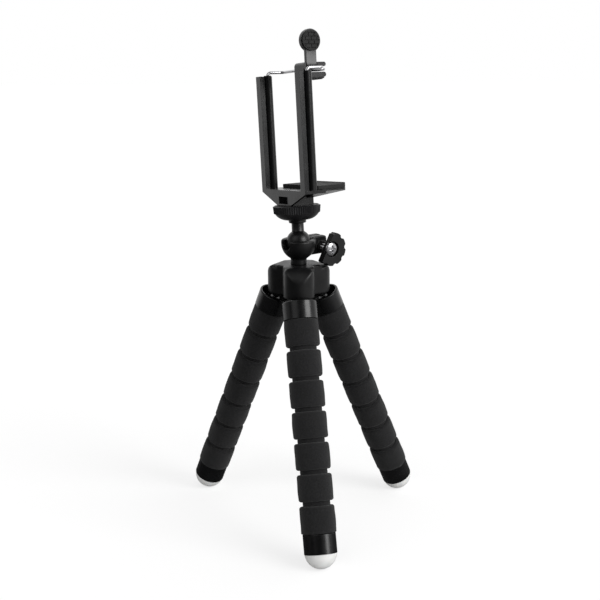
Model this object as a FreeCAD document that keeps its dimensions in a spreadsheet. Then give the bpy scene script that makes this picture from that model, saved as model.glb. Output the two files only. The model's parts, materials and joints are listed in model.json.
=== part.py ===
import FreeCAD, Part
import Sketcher
import math
import os

# Mini phone tripod: three foam-sleeved flexible legs, a ball head and a sprung phone clip.
# Millimetres and degrees, +Z up, origin on the table under the middle of the hub.

SIZES = {
    # legs, measured down the leg from the bend under the hub
    "foam_diameter": 18.0,
    "foam_shoulder": 1.0,
    "foam_top": 11.0,
    "first_groove": 26.2,
    "groove_pitch": 15.9,
    "groove_width": 2.2,
    "last_foam": 14.8,
    "neck_diameter": 14.2,
    "neck_depth": 1.6,
    "curl_limit": 14.0,
    "core_diameter": 5.0,
    "core_seat": 5.0,
    "top_collar_diameter": 18.4,
    "top_collar_wall": 1.1,
    "collar_edge": 0.4,
    "mouth_drop": 1.4,
    "cup_depth": 5.6,
    "post_diameter": 5.2,
    "bend_ball_diameter": 7.2,
    "bottom_collar_diameter": 17.0,
    "bottom_collar_length": 10.3,
    "foot_diameter": 16.6,
    "foot_inset": 0.65,
    "foot_spigot_diameter": 10.0,
    "foot_spigot_length": 4.0,
    "front_sway": 4.4,
    "left_sway": -1.6,
    "right_sway": -0.7,
    "leg_splay": 23.4,
    # hub
    "hub_height": 16.0,
    "lobe_width": 16.5,
    "lobe_reach": 18.1,
    "lobe_shoulder_drop": 9.6,
    "lobe_shoulder_start": 11.5,
    "lobe_shoulder_radius": 9.5,
    "lobe_top_round": 3.2,
    "lobe_edge": 0.8,
    "hub_wall": 1.8,
    "cover_thickness": 2.4,
    "bend_radius": 13.55,
    "bend_drop": 0.25,
    "hub_screw_circle": 6.3,
    "hub_screw_diameter": 1.8,
    "hub_screw_head_diameter": 3.2,
    "hub_screw_head_height": 1.2,
    "hub_screw_length": 8.0,
    "socket_bolt_diameter": 4.0,
    "socket_bolt_head_diameter": 6.4,
    "socket_bolt_head_height": 2.0,
    "socket_bolt_length": 11.0,
    # ball head, heights from the middle of the ball
    "ball_rise": 12.0,
    "ball_diameter": 13.0,
    "bowl_diameter": 18.6,
    "bowl_belly_drop": 0.5,
    "bowl_rim": 1.5,
    "bowl_rim_edge": 0.6,
    "socket_neck_diameter": 8.6,
    "spigot_diameter": 6.8,
    "spigot_length": 8.0,
    "notch_width": 7.6,
    "clamp_bearing": 36.6,
    "lug_reach": 15.8,
    "lug_thickness": 3.4,
    "lug_top": 2.4,
    "lug_bottom": 7.2,
    "lug_round": 3.0,
    "slit_width": 1.2,
    "boss_diameter": 6.4,
    "boss_height": 1.2,
    "clamp_reach": 12.4,
    "clamp_drop": 3.6,
    "clamp_screw_diameter": 4.0,
    "clamp_head_diameter": 7.6,
    "clamp_head_height": 1.9,
    "clamp_nut_flats": 7.0,
    "clamp_nut_height": 3.2,
    "clamp_nut_seat": 2.0,
    "knob_diameter": 18.0,
    "knob_thickness": 4.0,
    "knob_standoff": 9.6,
    "knob_scallop_diameter": 3.2,
    "knob_scallop_circle": 19.4,
    "knob_scallops": 9,
    "knob_scallop_bearing": 2.0,
    "knob_flat": 3.1,
    "knob_flat_bearing": 151.4,
    "knob_recess_diameter": 8.4,
    "knob_recess_depth": 1.7,
    # ball stem and platform, heights along the stem from the middle of the ball
    "stem_lean": 5.0,
    "stem_diameter": 6.5,
    "stem_foot": 5.7,
    "stem_foot_flare": 0.2,
    "stem_collar_diameter": 9.3,
    "stem_collar_base": 10.2,
    "stem_collar_height": 1.6,
    "stud_diameter": 6.2,
    "stud_shank_diameter": 4.4,
    "stud_root": 7.0,
    "stud_reach": 5.2,
    "disc_diameter": 25.4,
    "disc_foot_diameter": 24.6,
    "disc_bowl_height": 3.7,
    "disc_bowl_radius": 7.5,
    "disc_knurl_height": 3.7,
    "disc_crown": 0.5,
    "disc_ribs": 64,
    "disc_rib_depth": 0.45,
    # phone clip: width runs across the two bars, depth towards the phone
    "clip_bearing": -60.0,
    "bar_spacing": 41.6,
    "bar_set_back": 2.0,
    "bar_length": 59.4,
    "tube_diameter": 4.8,
    "tube_bore": 3.5,
    "web_thickness": 1.4,
    "web_length": 2.2,
    "flange_width": 4.6,
    "flange_thickness": 1.5,
    "bridge_thickness": 1.6,
    "boss_rise": 6.6,
    "boss_width": 14.0,
    "boss_depth": 13.0,
    "wall_taper_width": 14.0,
    "clip_nut_flats": 9.5,
    "clip_nut_height": 3.6,
    "clip_nut_floor": 0.9,
    "jaw_width": 37.4,
    "jaw_root": 2.6,
    "jaw_reach": 20.6,
    "jaw_corner": 3.4,
    "jaw_end_thickness": 0.9,
    "jaw_tip_thickness": 1.6,
    "jaw_thickness": 4.6,
    "jaw_pad_thickness": 2.0,
    "jaw_pad_lip": 0.6,
    "jaw_pad_lip_depth": 3.0,
    "wire_diameter": 1.6,
    "wire_bend": 2.0,
    "wire_rise": 1.9,
    "wire_cross_depth": 7.7,
    "wire_loop_width": 6.4,
    "wire_loop_reach": 19.6,
    "stop_diameter": 3.2,
    "stop_length": 2.0,
    "stop_floor": 3.5,
    "spring_diameter": 3.2,
    "spring_bore": 2.2,
    "plug_length": 2.0,
    "plug_proud": 0.4,
    "plug_head_diameter": 4.0,
    "upper_jaw_width": 9.4,
    "upper_jaw_root": 5.6,
    "upper_jaw_reach": 19.2,
    "upper_jaw_spine": 5.0,
    "prong_gap": 2.8,
    "lower_prong": 2.6,
    "upper_prong": 2.3,
    "upper_pad_thickness": 0.7,
    "upper_pad_tooth": 0.5,
    "arm_place": 10.7,
    "arm_width": 6.2,
    "arm_thickness": 2.2,
    "arm_offset": 3.6,
    "arm_barrel_diameter": 2.6,
    "arm_pin_diameter": 1.2,
    "arm_pin_length": 9.2,
    "arm_rise": 12.2,
    "arm_disc_diameter": 11.8,
    "grip_pad_diameter": 10.6,
    "grip_pad_thickness": 0.8,
    # clearances
    "running_gap": 0.3,
    "ball_gap": 0.2,
    "fit_gap": 0.05,
    "seat_gap": 0.1,
}

GROOVES = 6
LEGS = {"front": 270, "left": 150, "right": 30}

FOAM_END = "(first_groove + %d * groove_pitch + last_foam)" % (GROOVES - 1)
COLLAR_END = "(%s + bottom_collar_length)" % FOAM_END
FOOT_CENTRE = "(%s - foot_inset)" % COLLAR_END
# the hub stands as high as a leg without sway carries it
WORKED_OUT = {"hub_base": "bend_drop + foot_diameter / 2 + %s * cos(leg_splay)" % FOOT_CENTRE}

doc = FreeCAD.newDocument("phone_tripod")
sheet = doc.addObject("Spreadsheet::Sheet", "Sizes")
formulas = {name: "=" + text for name, text in WORKED_OUT.items()}
for row, (name, content) in enumerate({**SIZES, **formulas}.items(), start=1):
    sheet.set("A%d" % row, name)
    sheet.set("B%d" % row, str(content))
    sheet.setAlias("B%d" % row, name)
probe = doc.addObject("Spreadsheet::Sheet", "Probe")
doc.recompute()

nodes = {}


def full(text):
    """An expression with the sheet's name put before each size."""
    out = []
    word = ""
    for letter in str(text) + " ":
        if letter.isalnum() or letter == "_":
            word += letter
            continue
        out.append("Sizes." + word if word in SIZES or word in WORKED_OUT else word)
        out.append(letter)
        word = ""
    return "".join(out).strip()


def value(text):
    """What an expression of the sheet's sizes comes to."""
    probe.set("A1", "=" + full(text))
    probe.recompute()
    return float(probe.get("A1"))


def bind(thing, prop, text):
    thing.setExpression(prop, full(text))
    return thing


def place(thing, at=("0", "0", "0"), axis=(0, 0, 1), angle="0"):
    """Moves a helper shape within its piece's own frame."""
    thing.Placement = FreeCAD.Placement(
        FreeCAD.Vector(*[value(a) for a in at]),
        FreeCAD.Rotation(FreeCAD.Vector(*axis), value(angle)),
    )
    return thing


AXES = {"x": ((0, 1, 0), "90"), "y": ((1, 0, 0), "-90"), "z": ((0, 0, 1), "0")}


def cylinder(name, radius, height, at=("0", "0", "0"), along="z"):
    thing = doc.addObject("Part::Cylinder", name)
    bind(thing, "Radius", radius)
    bind(thing, "Height", height)
    return place(thing, at, *AXES[along])


def sphere(name, radius, at=("0", "0", "0")):
    thing = doc.addObject("Part::Sphere", name)
    bind(thing, "Radius", radius)
    return place(thing, at)


def box(name, corner, size):
    thing = doc.addObject("Part::Box", name)
    for prop, text in zip(("Length", "Width", "Height"), size):
        bind(thing, prop, text)
    return place(thing, corner)


def prism(name, flats, height, at=("0", "0", "0"), along="z"):
    """A hexagon given by the width across its flats."""
    thing = doc.addObject("Part::Prism", name)
    thing.Polygon = 6
    bind(thing, "Circumradius", "(%s) / 2 / cos(30)" % flats)
    bind(thing, "Height", height)
    return place(thing, at, *AXES[along])


def fuse(name, *pieces):
    thing = doc.addObject("Part::MultiFuse", name)
    thing.Shapes = list(pieces)
    thing.Refine = True
    return thing


def common(name, *pieces):
    thing = doc.addObject("Part::MultiCommon", name)
    thing.Shapes = list(pieces)
    return thing


def cut(name, base, *tools):
    tool = tools[0] if len(tools) == 1 else fuse(name + "Tools", *tools)
    thing = doc.addObject("Part::Cut", name)
    thing.Base = base
    thing.Tool = tool
    return thing


def sketch_in(body, role):
    """A sketch on one of the body's own origin planes."""
    plane = [f for f in body.Origin.OriginFeatures if f.Role == role][0]
    sketch = body.newObject("Sketcher::SketchObject", body.Name + "Outline")
    sketch.AttachmentSupport = [(plane, "")]
    sketch.MapMode = "FlatFace"
    return sketch


def arc_between(start, end, radius, side):
    """The short arc of a radius from start to end, its centre on the left for side 1, on the right for -1."""
    chord = end.sub(start)
    middle = start.add(end).multiply(0.5)
    left = FreeCAD.Vector(-chord.y, chord.x, 0).normalize()
    reach = math.sqrt(max(radius**2 - (chord.Length / 2) ** 2, 0))
    centre = middle.add(left.multiply(side * reach))
    first, last = (start, end) if side > 0 else (end, start)
    begin = math.atan2(first.y - centre.y, first.x - centre.x)
    finish = math.atan2(last.y - centre.y, last.x - centre.x)
    if finish < begin:
        finish += 2 * math.pi
    return Part.ArcOfCircle(Part.Circle(centre, FreeCAD.Vector(0, 0, 1), radius), begin, finish)


def outline(sketch, points):
    """A closed outline. A point is (across, up), or (across, up, radius, side) where an arc leaves it."""
    places = [FreeCAD.Vector(value(p[0]), value(p[1]), 0) for p in points]
    ends = []
    for i, point in enumerate(points):
        start, end = places[i], places[(i + 1) % len(points)]
        if len(point) == 2:
            edge = Part.LineSegment(start, end)
        else:
            edge = arc_between(start, end, value(point[2]), point[3])
        sketch.addGeometry(edge, False)
        forward = sketch.Geometry[i].StartPoint.sub(start).Length < 1e-6
        ends.append((1, 2) if forward else (2, 1))
    for i in range(len(points)):
        following = (i + 1) % len(points)
        joined = Sketcher.Constraint("Coincident", i, ends[i][1], following, ends[following][0])
        sketch.addConstraint(joined)
    for i, point in enumerate(points):
        for kind, text, number in (
            ("DistanceX", point[0], places[i].x),
            ("DistanceY", point[1], places[i].y),
        ):
            held = sketch.addConstraint(Sketcher.Constraint(kind, -1, 1, i, ends[i][0], number))
            sketch.setExpression("Constraints[%d]" % held, full(text))
        if len(point) > 2:
            held = sketch.addConstraint(Sketcher.Constraint("Radius", i, value(point[2])))
            sketch.setExpression("Constraints[%d]" % held, full(point[2]))


def turned(name, points):
    """A body turned about Z from an outline of (radius, height) points."""
    body = doc.addObject("PartDesign::Body", name)
    sketch = sketch_in(body, "XZ_Plane")
    outline(sketch, points)
    turn = body.newObject("PartDesign::Revolution", name + "Turn")
    turn.Profile = sketch
    turn.ReferenceAxis = (sketch, ["V_Axis"])
    turn.Angle = 360
    return body


def padded(name, role, points, length, middle=True, flip=False):
    """A body padded from an outline on the body's XY, XZ or YZ plane."""
    body = doc.addObject("PartDesign::Body", name)
    sketch = sketch_in(body, role)
    outline(sketch, points)
    pad = body.newObject("PartDesign::Pad", name + "Pad")
    pad.Profile = sketch
    bind(pad, "Length", length)
    pad.Midplane = middle
    pad.Reversed = flip
    return body


def node(name, thing, placement=None):
    thing.Label = name
    if placement is not None:
        thing.Placement = placement
    nodes[name] = thing


def frame_at(origin, x_axis, z_axis):
    """A placement whose X and Z axes point the given ways."""
    x_axis = FreeCAD.Vector(*x_axis).normalize()
    z_axis = FreeCAD.Vector(*z_axis).normalize()
    y_axis = z_axis.cross(x_axis)
    return FreeCAD.Placement(FreeCAD.Vector(*origin), FreeCAD.Rotation(x_axis, y_axis, z_axis, "ZXY"))


# The legs, each in a frame at its bend: -Z runs down the leg, +X points outwards


def leg_placement(side):
    """Turns a leg outwards until its foot stands on the table."""
    bearing = LEGS[side]
    sway = value(side + "_sway")
    bend_height = value("hub_base - bend_drop")
    reach = value(FOOT_CENTRE)
    splay = math.degrees(math.acos((bend_height - value("foot_diameter / 2")) / (reach * math.cos(math.radians(sway)))))
    out = value("bend_radius")
    at = FreeCAD.Vector(out * math.cos(math.radians(bearing)), out * math.sin(math.radians(bearing)), bend_height)
    turn = FreeCAD.Rotation(FreeCAD.Vector(0, 0, 1), bearing)
    turn = turn.multiply(FreeCAD.Rotation(FreeCAD.Vector(0, 1, 0), -splay))
    turn = turn.multiply(FreeCAD.Rotation(FreeCAD.Vector(1, 0, 0), sway))
    return FreeCAD.Placement(at, turn)


def groove(k):
    """How far down the leg the middle of groove k lies, counted from 1."""
    return "(first_groove + %d * groove_pitch)" % (k - 1)


CUP_FLOOR = "(neck_depth * cos(curl_limit) + neck_diameter / 2 * sin(curl_limit) + running_gap)"
CORE_BORE = "core_diameter / 2 + fit_gap"


def bend_ball(side):
    """The bead at the flexible core's bend, turned from flats all round."""
    steps = range(-3, 4)
    rim = [("bend_ball_diameter / 2 * cos(%d)" % (30 * k), "bend_ball_diameter / 2 * sin(%d)" % (30 * k)) for k in steps]
    rim[0] = ("0", rim[0][1])
    rim[-1] = ("0", rim[-1][1])
    return turned("BendBall" + side.title(), rim)


def top_collar(side):
    """The moulded cup at the leg's top, open towards the hub."""
    wall = "top_collar_diameter / 2"
    mouth = "-mouth_drop"
    floor = "-mouth_drop - cup_depth"
    post_top = "-bend_ball_diameter / 2 - running_gap"
    core_top = "-foam_top + core_seat / 2 + fit_gap"
    return turned(
        "TopCollar" + side.title(),
        [
            (CORE_BORE, "-foam_top"),
            (wall, "-foam_top"),
            (wall, mouth + " - collar_edge"),
            (wall + " - collar_edge", mouth),
            (wall + " - top_collar_wall", mouth),
            (wall + " - top_collar_wall", floor),
            ("post_diameter / 2", floor),
            ("post_diameter / 2", post_top),
            ("0", post_top),
            ("0", core_top),
            (CORE_BORE, core_top),
        ],
    )


def foam_segment(side, k):
    """One foam bead: a neck under it sits in the cup of the next, so the leg bends at each groove."""
    radius = "foam_diameter / 2"
    neck = "neck_diameter / 2"
    first, last = k == 1, k == GROOVES + 1
    top = "-foam_top" if first else "-%s - groove_width / 2" % groove(k - 1)
    bottom = "-" + FOAM_END if last else "-%s + groove_width / 2" % groove(k)
    points = []
    if last:
        points += [(CORE_BORE, bottom), (radius, bottom)]
    else:
        middle = "-" + groove(k)
        points += [
            (CORE_BORE, middle + " - neck_depth"),
            ("sqrt((%s) ^ 2 - neck_depth ^ 2)" % neck, middle + " - neck_depth"),
            (neck, middle),
            ("sqrt((%s) ^ 2 - (groove_width / 2) ^ 2)" % neck, bottom),
            (radius + " - foam_shoulder", bottom),
            (radius, bottom + " + foam_shoulder"),
        ]
    if first:
        points += [(radius, top), (CORE_BORE, top)]
    else:
        cup = neck + " + running_gap"
        cup_floor = "-%s - %s" % (groove(k - 1), CUP_FLOOR)
        points += [
            (radius, top + " - foam_shoulder"),
            (radius + " - foam_shoulder", top),
            (cup, top),
            (cup, cup_floor),
            (CORE_BORE, cup_floor),
        ]
    return turned("Foam%d%s" % (k, side.title()), points)


def bottom_collar(side):
    """The hard ring between the foam and the rubber foot."""
    wall = "bottom_collar_diameter / 2"
    socket = "foot_spigot_diameter / 2 + fit_gap"
    roof = "-%s + foot_spigot_length + seat_gap" % COLLAR_END
    seat = "-%s - core_seat / 2 - fit_gap" % FOAM_END
    return turned(
        "BottomCollar" + side.title(),
        [
            (socket, "-" + COLLAR_END),
            (wall, "-" + COLLAR_END),
            (wall, "-%s - collar_edge" % FOAM_END),
            (wall + " - collar_edge", "-" + FOAM_END),
            (CORE_BORE, "-" + FOAM_END),
            (CORE_BORE, seat),
            ("0", seat),
            ("0", roof),
            (socket, roof),
        ],
    )


def foot(side):
    """The domed rubber foot with its spigot."""
    dome = "foot_diameter / 2"
    spigot = "foot_spigot_diameter / 2"
    return turned(
        "Foot" + side.title(),
        [
            ("0", "-%s - %s" % (FOOT_CENTRE, dome), dome, 1),
            ("sqrt((%s) ^ 2 - foot_inset ^ 2)" % dome, "-" + COLLAR_END),
            (spigot, "-" + COLLAR_END),
            (spigot, "-%s + foot_spigot_length" % COLLAR_END),
            ("0", "-%s + foot_spigot_length" % COLLAR_END),
        ],
    )


def core_wire(side):
    """The flexible core that runs down the middle of the foam."""
    low = "-%s - core_seat / 2" % FOAM_END
    length = "%s + core_seat / 2 - foam_top + core_seat / 2" % FOAM_END
    return cylinder("Core" + side.title(), "core_diameter / 2", length, ("0", "0", low))


def make_leg(side):
    where = leg_placement(side)
    node("bend_ball_" + side, bend_ball(side), where)
    node("top_collar_" + side, top_collar(side), where)
    for k in range(1, GROOVES + 2):
        node("foam_%d_%s" % (k, side), foam_segment(side, k), where)
    node("bottom_collar_" + side, bottom_collar(side), where)
    node("foot_" + side, foot(side), where)
    wire = core_wire(side)
    node("core_" + side, wire, where.multiply(wire.Placement))


# The hub, in the part's own frame


def trefoil(name, width, reach, low, height):
    """Three round-ended arms about the hub's axis."""
    arms = []
    for side, bearing in LEGS.items():
        half = "(%s) / 2" % width
        middle = "(%s) - %s" % (reach, half)
        arm = padded(
            name + side.title(),
            "XY_Plane",
            [
                ("0", "-" + half),
                (middle, "-" + half, half, 1),
                (reach, "0", half, 1),
                (middle, half),
                ("0", half),
            ],
            height,
            middle=False,
        )
        arms.append(place(arm, ("0", "0", low), (0, 0, 1), str(bearing)))
    return fuse(name, *arms)


def sloped_arms(name):
    """Each arm: upright to the shoulder, rounded over to the top, with rounded long edges."""
    arms = []
    top = "hub_base + hub_height"
    for side, bearing in LEGS.items():
        arm = padded(
            name + side.title(),
            "XZ_Plane",
            [
                ("-lobe_shoulder_start", "hub_base"),
                ("lobe_reach - lobe_edge", "hub_base"),
                ("lobe_reach", "hub_base + lobe_edge"),
                ("lobe_reach", top + " - lobe_shoulder_drop", "lobe_shoulder_radius", 1),
                ("lobe_shoulder_start", top),
                ("-lobe_shoulder_start", top),
            ],
            "lobe_width",
        )
        section = padded(
            name + side.title() + "Section",
            "YZ_Plane",
            [
                ("-lobe_width / 2", "hub_base"),
                ("lobe_width / 2", "hub_base"),
                ("lobe_width / 2", top + " - lobe_top_round", "lobe_top_round", 1),
                ("lobe_width / 2 - lobe_top_round", top),
                ("-lobe_width / 2 + lobe_top_round", top, "lobe_top_round", 1),
                ("-lobe_width / 2", top + " - lobe_top_round"),
            ],
            "2 * lobe_reach",
        )
        arm = common(name + side.title() + "Rounded", arm, section)
        arms.append(place(arm, ("0", "0", "0"), (0, 0, 1), str(bearing)))
    return fuse(name, *arms)


def bend_pockets(name):
    """The pockets under the hub that the legs' bend beads turn in."""
    pockets = []
    for side, bearing in LEGS.items():
        across = "bend_radius * cos(%d)" % bearing
        along = "bend_radius * sin(%d)" % bearing
        low = "hub_base - bend_drop"
        reach = "bend_ball_diameter / 2 + running_gap"
        pockets.append(cylinder(name + side.title(), reach, reach, (across, along, low)))
    return pockets


def ring_of(name, radius, low, height, bearings):
    """Upright cylinders on the hub's screw circle."""
    out = []
    for k, bearing in enumerate(bearings):
        at = ("hub_screw_circle * cos(%d)" % bearing, "hub_screw_circle * sin(%d)" % bearing, low)
        out.append(cylinder("%s%d" % (name, k), radius, height, at))
    return out


def make_hub():
    bearings = list(LEGS.values())
    plan = trefoil("HubPlan", "lobe_width", "lobe_reach", "hub_base", "hub_height")
    shape = common("HubShape", plan, sloped_arms("HubSides"))
    recess = trefoil(
        "CoverRecess", "lobe_width - 2 * hub_wall", "lobe_reach - hub_wall", "hub_base", "cover_thickness"
    )
    seat = cylinder(
        "SpigotBore",
        "spigot_diameter / 2 + fit_gap",
        "spigot_length + 1",
        ("0", "0", "hub_base + hub_height - spigot_length"),
    )
    bolt_way = cylinder("BoltWay", "socket_bolt_diameter / 2 + seat_gap", "hub_height", ("0", "0", "hub_base"))
    pilots = ring_of(
        "ScrewPilot",
        "hub_screw_diameter / 2 + fit_gap",
        "hub_base",
        "hub_screw_length + 1",
        bearings,
    )
    body = cut("HubBody", shape, recess, seat, bolt_way, *pilots, *bend_pockets("HubPocket"))
    node("hub_body", body)

    margin = "(hub_wall + seat_gap)"
    plate = trefoil(
        "CoverPlate", "lobe_width - 2 * " + margin, "lobe_reach - " + margin, "hub_base", "cover_thickness"
    )
    head_way = cylinder(
        "HeadWay", "socket_bolt_head_diameter / 2 + seat_gap", "cover_thickness", ("0", "0", "hub_base")
    )
    heads = ring_of(
        "ScrewSink", "hub_screw_head_diameter / 2 + seat_gap", "hub_base", "hub_screw_head_height", bearings
    )
    shanks = ring_of(
        "ScrewWay", "hub_screw_diameter / 2 + fit_gap", "hub_base", "cover_thickness", bearings
    )
    node("hub_cover", cut("HubCover", plate, head_way, *heads, *shanks, *bend_pockets("CoverPocket")))

    heads = ring_of("ScrewHead", "hub_screw_head_diameter / 2", "hub_base", "hub_screw_head_height", bearings)
    shanks = ring_of("ScrewShank", "hub_screw_diameter / 2", "hub_base", "hub_screw_length", bearings)
    node("hub_screws", fuse("HubScrews", *heads, *shanks))

    roof = "hub_base + cover_thickness"
    head = cylinder(
        "BoltHead",
        "socket_bolt_head_diameter / 2",
        "socket_bolt_head_height",
        ("0", "0", roof + " - socket_bolt_head_height"),
    )
    shank = cylinder("BoltShank", "socket_bolt_diameter / 2", "socket_bolt_length", ("0", "0", roof))
    key = prism("BoltKey", "socket_bolt_diameter * 0.6", "1", ("0", "0", roof + " - socket_bolt_head_height"))
    node("socket_bolt", cut("SocketBolt", fuse("BoltSolid", head, shank), key))


# The ball head: its frame is at the middle of the ball, +X towards the clamp's lugs

BALL_HEIGHT = "hub_base + hub_height + ball_rise"


def head_frame():
    bearing = math.radians(value("clamp_bearing"))
    return frame_at(
        (0, 0, value(BALL_HEIGHT)), (math.cos(bearing), math.sin(bearing), 0), (0, 0, 1)
    )


def ball_socket():
    """A split bowl on a neck, notched on one side, with two lugs on the other."""
    bowl = "bowl_diameter / 2"
    neck = "socket_neck_diameter / 2"
    spigot = "spigot_diameter / 2"
    outside = turned(
        "Bowl",
        [
            ("0", "-ball_rise - spigot_length + seat_gap"),
            (spigot, "-ball_rise - spigot_length + seat_gap"),
            (spigot, "-ball_rise"),
            (neck, "-ball_rise"),
            (neck, "-bowl_belly_drop - sqrt((%s) ^ 2 - (%s) ^ 2)" % (bowl, neck), bowl, 1),
            (bowl, "-bowl_belly_drop"),
            (bowl, "bowl_rim - bowl_rim_edge"),
            (bowl + " - bowl_rim_edge", "bowl_rim"),
            ("0", "bowl_rim"),
        ],
    )
    lugs = padded(
        "Lugs",
        "XZ_Plane",
        [
            (bowl + " / 2", "-lug_bottom"),
            ("lug_reach - lug_round", "-lug_bottom", "lug_round", 1),
            ("lug_reach", "-lug_bottom + lug_round"),
            ("lug_reach", "lug_top - lug_round / 2", "lug_round / 2", 1),
            ("lug_reach - lug_round / 2", "lug_top"),
            (bowl + " * 0.8", "lug_top"),
            (bowl + " / 2", "bowl_rim"),
        ],
        "slit_width + 2 * lug_thickness",
    )
    outer_face = "(slit_width / 2 + lug_thickness)"
    boss = cylinder(
        "ClampBoss",
        "boss_diameter / 2",
        outer_face + " + boss_height - slit_width / 2",
        ("clamp_reach", "-%s - boss_height" % outer_face, "-clamp_drop"),
        "y",
    )
    solid = fuse("SocketSolid", outside, lugs, boss)
    cavity = sphere("SocketCavity", "ball_diameter / 2 + ball_gap")
    slit = box(
        "Slit",
        ("bowl_diameter / 4", "-slit_width / 2", "-lug_bottom - 1"),
        ("lug_reach", "slit_width", "lug_bottom + lug_top + 2"),
    )
    screw_way = cylinder(
        "ScrewWay",
        "clamp_screw_diameter / 2 + seat_gap",
        "4 * lug_thickness",
        ("clamp_reach", "-2 * lug_thickness", "-clamp_drop"),
        "y",
    )
    nut_seat = prism(
        "NutSeat",
        "clamp_nut_flats + 2 * fit_gap",
        "lug_thickness",
        ("clamp_reach", outer_face + " - clamp_nut_seat", "-clamp_drop"),
        "y",
    )
    notch = padded(
        "Notch",
        "YZ_Plane",
        [
            ("-notch_width / 2", "bowl_rim + 1"),
            ("-notch_width / 2", "0", "notch_width / 2", 1),
            ("0", "-notch_width / 2", "notch_width / 2", 1),
            ("notch_width / 2", "0"),
            ("notch_width / 2", "bowl_rim + 1"),
        ],
        "bowl_diameter",
        middle=False,
        flip=True,
    )
    bolt_hole = cylinder(
        "BoltHole",
        "socket_bolt_diameter / 2 + fit_gap",
        "socket_bolt_length + cover_thickness - hub_height + spigot_length + 0.5",
        ("0", "0", "-ball_rise - spigot_length"),
    )
    return cut("BallSocket", solid, cavity, slit, screw_way, nut_seat, notch, bolt_hole)


def clamp_knob():
    """A scalloped knob with one side cut flat; +Z points out along the clamp screw."""
    disc = cylinder("KnobDisc", "knob_diameter / 2", "knob_thickness")
    scallops = []
    count = int(value("knob_scallops"))
    for k in range(count):
        bearing = "(knob_scallop_bearing + %d * 360 / knob_scallops)" % k
        at = ("knob_scallop_circle / 2 * cos%s" % bearing, "knob_scallop_circle / 2 * sin%s" % bearing, "-1")
        scallops.append(cylinder("Scallop%d" % k, "knob_scallop_diameter / 2", "knob_thickness + 2", at))
    flat = box("KnobFlat", ("knob_flat", "-knob_diameter / 2", "-1"), ("knob_diameter", "knob_diameter", "knob_thickness + 2"))
    turn = FreeCAD.Placement(FreeCAD.Vector(), FreeCAD.Rotation(FreeCAD.Vector(0, 0, 1), value("knob_flat_bearing")))
    flat.Placement = turn.multiply(flat.Placement)
    recess = cylinder(
        "KnobRecess",
        "knob_recess_diameter / 2",
        "knob_recess_depth + 1",
        ("0", "0", "knob_thickness - knob_recess_depth"),
    )
    hole = cylinder("KnobHole", "clamp_screw_diameter / 2 + fit_gap", "knob_thickness + 2", ("0", "0", "-1"))
    return cut("ClampKnob", disc, flat, recess, hole, *scallops)


def clamp_screw():
    """A domed screw; +Z points out along it from the slit's plane."""
    shank = "clamp_screw_diameter / 2"
    head = "clamp_head_diameter / 2"
    seat = "knob_standoff + knob_thickness - knob_recess_depth"
    dome = "((%s) ^ 2 + (clamp_head_height - 0.6) ^ 2) / (2 * (clamp_head_height - 0.6))" % head
    inner_end = "-slit_width / 2 - lug_thickness + clamp_nut_seat - clamp_nut_height - 0.4"
    return turned(
        "ClampScrew",
        [
            ("0", inner_end),
            (shank, inner_end),
            (shank, seat),
            (head, seat),
            (head, seat + " + 0.6", dome, 1),
            ("0", seat + " + clamp_head_height"),
        ],
    )


def make_head():
    head = head_frame()
    node("ball_socket", ball_socket(), head)
    bearing = math.radians(value("clamp_bearing"))
    lugs_way = FreeCAD.Vector(math.cos(bearing), math.sin(bearing), 0)
    clamp_way = FreeCAD.Vector(math.sin(bearing), -math.cos(bearing), 0)
    centre = head.Base.add(lugs_way.multiply(value("clamp_reach")))
    centre = centre.sub(FreeCAD.Vector(0, 0, value("clamp_drop")))
    lugs_way = (math.cos(bearing), math.sin(bearing), 0)
    axis = frame_at(tuple(centre), lugs_way, tuple(clamp_way))
    nut = cut(
        "ClampNut",
        prism("ClampNutHex", "clamp_nut_flats", "clamp_nut_height"),
        cylinder("ClampNutBore", "clamp_screw_diameter / 2 + fit_gap", "clamp_nut_height"),
    )
    nut_low = "-slit_width / 2 - lug_thickness + clamp_nut_seat - clamp_nut_height"
    node("clamp_nut", nut, axis.multiply(FreeCAD.Placement(FreeCAD.Vector(0, 0, value(nut_low)), FreeCAD.Rotation())))
    node("clamp_screw", clamp_screw(), axis)
    standoff = FreeCAD.Placement(FreeCAD.Vector(0, 0, value("knob_standoff")), FreeCAD.Rotation())
    node("clamp_knob", clamp_knob(), axis.multiply(standoff))
    make_stem(stem_frame())


# The stem and all above it: frame at the middle of the ball, +X across the clip, +Y towards the phone


def stem_frame():
    bearing = math.radians(value("clip_bearing"))
    across = FreeCAD.Vector(math.cos(bearing), math.sin(bearing), 0)
    lean = math.radians(value("stem_lean"))
    up = FreeCAD.Vector(0, 0, math.cos(lean)).sub(across.multiply(math.sin(lean)))
    bearing_across = (math.cos(bearing) * math.cos(lean), math.sin(bearing) * math.cos(lean), math.sin(lean))
    return frame_at((0, 0, value(BALL_HEIGHT)), bearing_across, tuple(up))


STEM_TOP = "(stem_collar_base + stem_collar_height)"
KNURL_LOW = "(%s + disc_bowl_height)" % STEM_TOP
DISC_TOP = "(%s + disc_knurl_height + disc_crown)" % KNURL_LOW


def knurled_rim():
    """The platform's ribbed rim: pointed ribs all round, wider at the top."""
    ribs = int(value("disc_ribs"))
    depth = value("disc_rib_depth")
    wires = []
    for radius, height in (("disc_foot_diameter / 2", KNURL_LOW), ("disc_diameter / 2", KNURL_LOW + " + disc_knurl_height")):
        points = []
        for k in range(2 * ribs + 1):
            reach = value(radius) - (depth if k % 2 else 0)
            angle = math.pi * k / ribs
            points.append(FreeCAD.Vector(reach * math.cos(angle), reach * math.sin(angle), value(height)))
        wires.append(Part.makePolygon(points))
    thing = doc.addObject("Part::Feature", "KnurledRim")
    thing.Shape = Part.makeLoft(wires, True, True)
    return thing


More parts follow.
